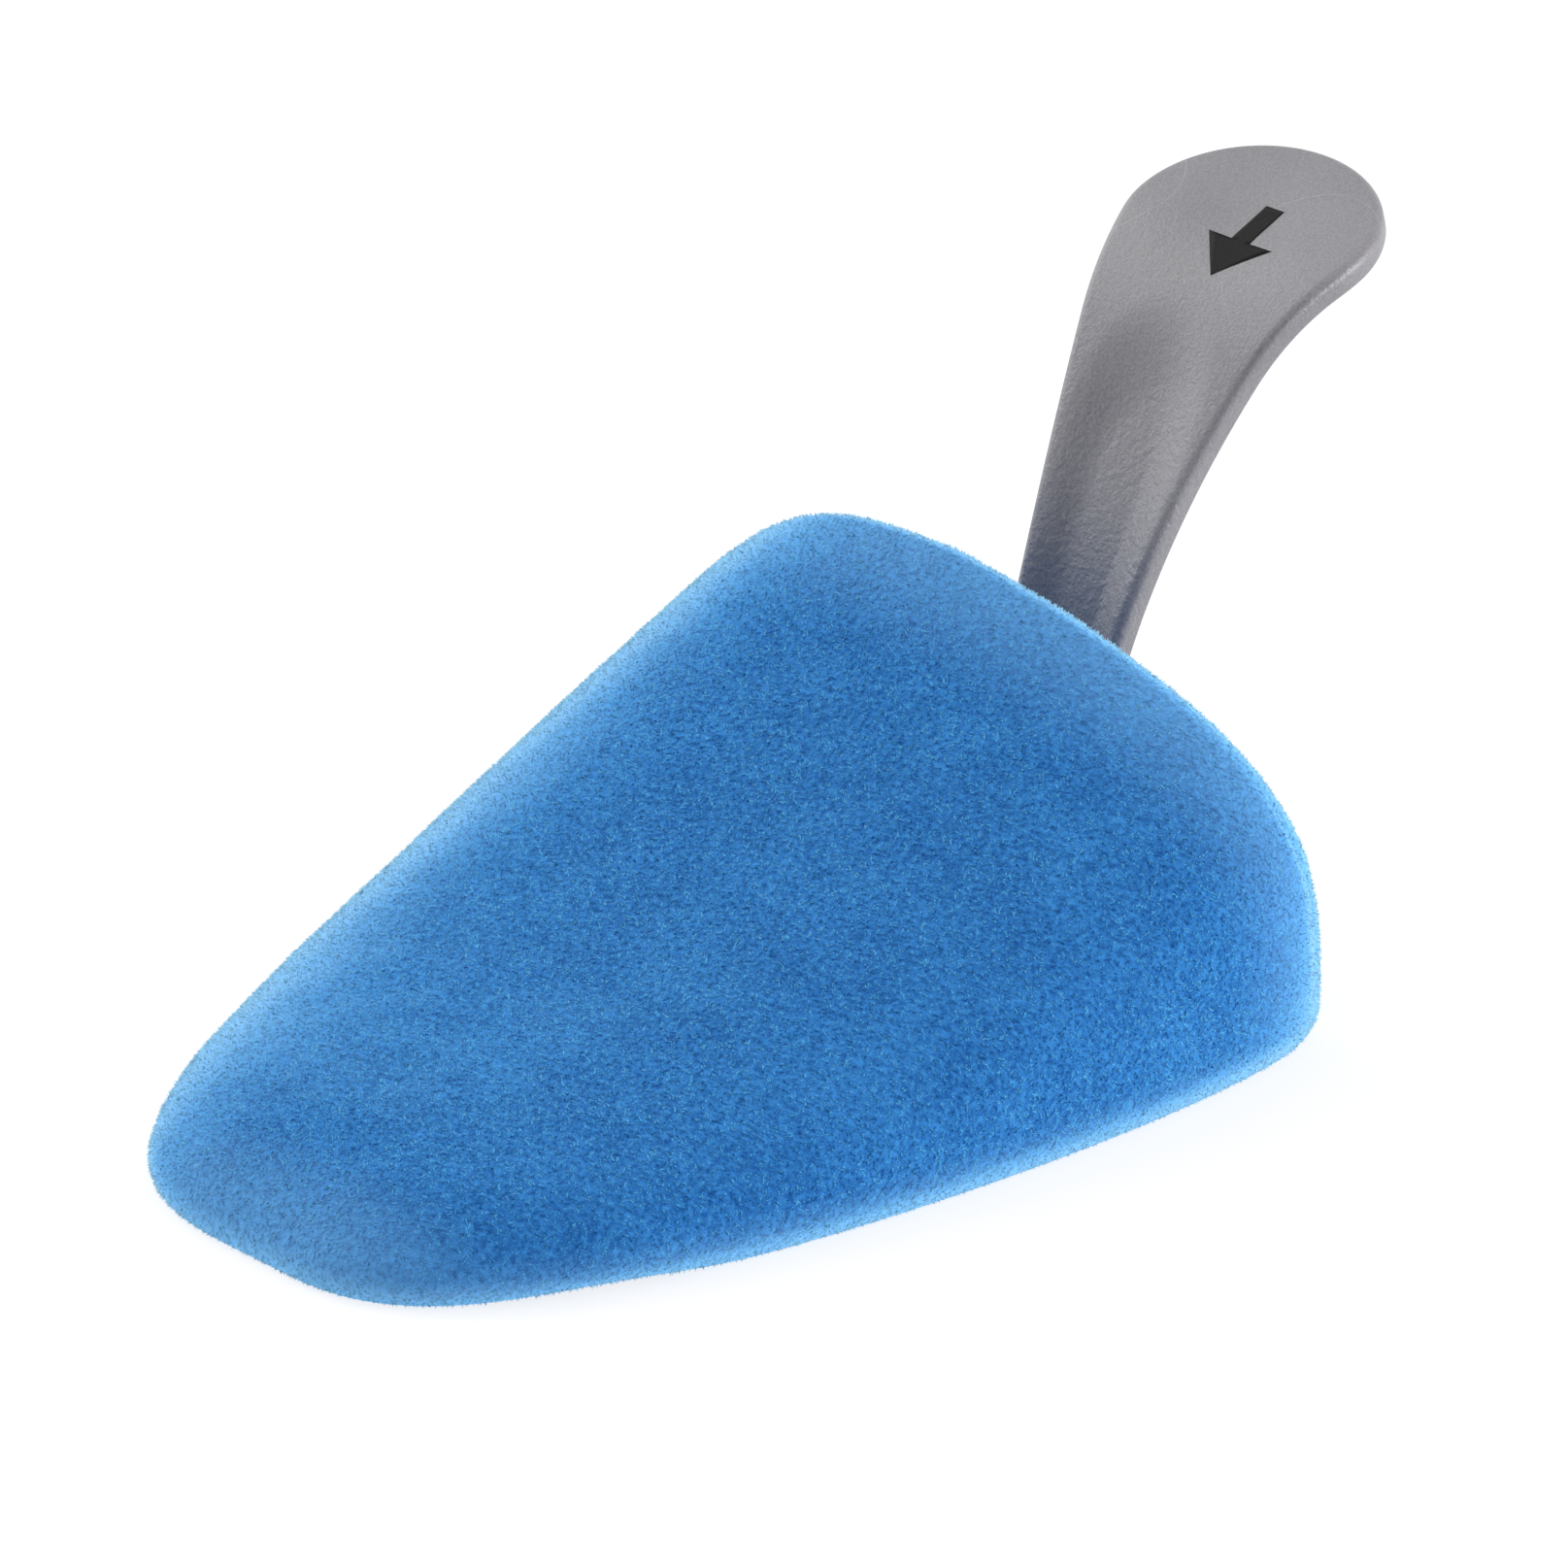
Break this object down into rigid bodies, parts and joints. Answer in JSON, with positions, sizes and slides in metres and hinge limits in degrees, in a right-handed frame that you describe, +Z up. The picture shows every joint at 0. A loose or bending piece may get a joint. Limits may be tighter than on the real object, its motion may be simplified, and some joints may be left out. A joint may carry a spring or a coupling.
{
  "type": "foam shoe tree",
  "caption": "Flocked foam toe former for a left shoe, with a springy moulded handle that ends in a thumb pad.",
  "frame": {"origin": "middle of the box's underside, on the flat sole", "axes": "+X from the toe to the handle's end, +Y towards the inner side of the foot, +Z up from the sole"},
  "size_m": [0.1552, 0.0882, 0.0666],
  "materials": {
    "cover_flock": "short blue nylon flock, matt, brighter at grazing angles",
    "sole_flock": "short blue nylon flock, rubbed flatter than the cover's",
    "core_foam": "open-cell foam",
    "handle_plastic": "satin moulded grey plastic with a faint orange-peel grain"
  },
  "bodies": {
    "former": {"upper_cover": "cover_flock", "sole_panel": "sole_flock", "foam_core": "core_foam"},
    "handle": {"handle": "handle_plastic"}
  },
  "joints": [
    {"name": "handle_flex", "type": "hinge", "parent": "former", "child": "handle", "pos_m": [0.02653, 0.00206, 0.0136], "axis": [0, 1, 0], "range_deg": [-5, 8], "stiffness_Nm_per_rad": 1.2, "deforming": ["foam_core"]}
  ]
}
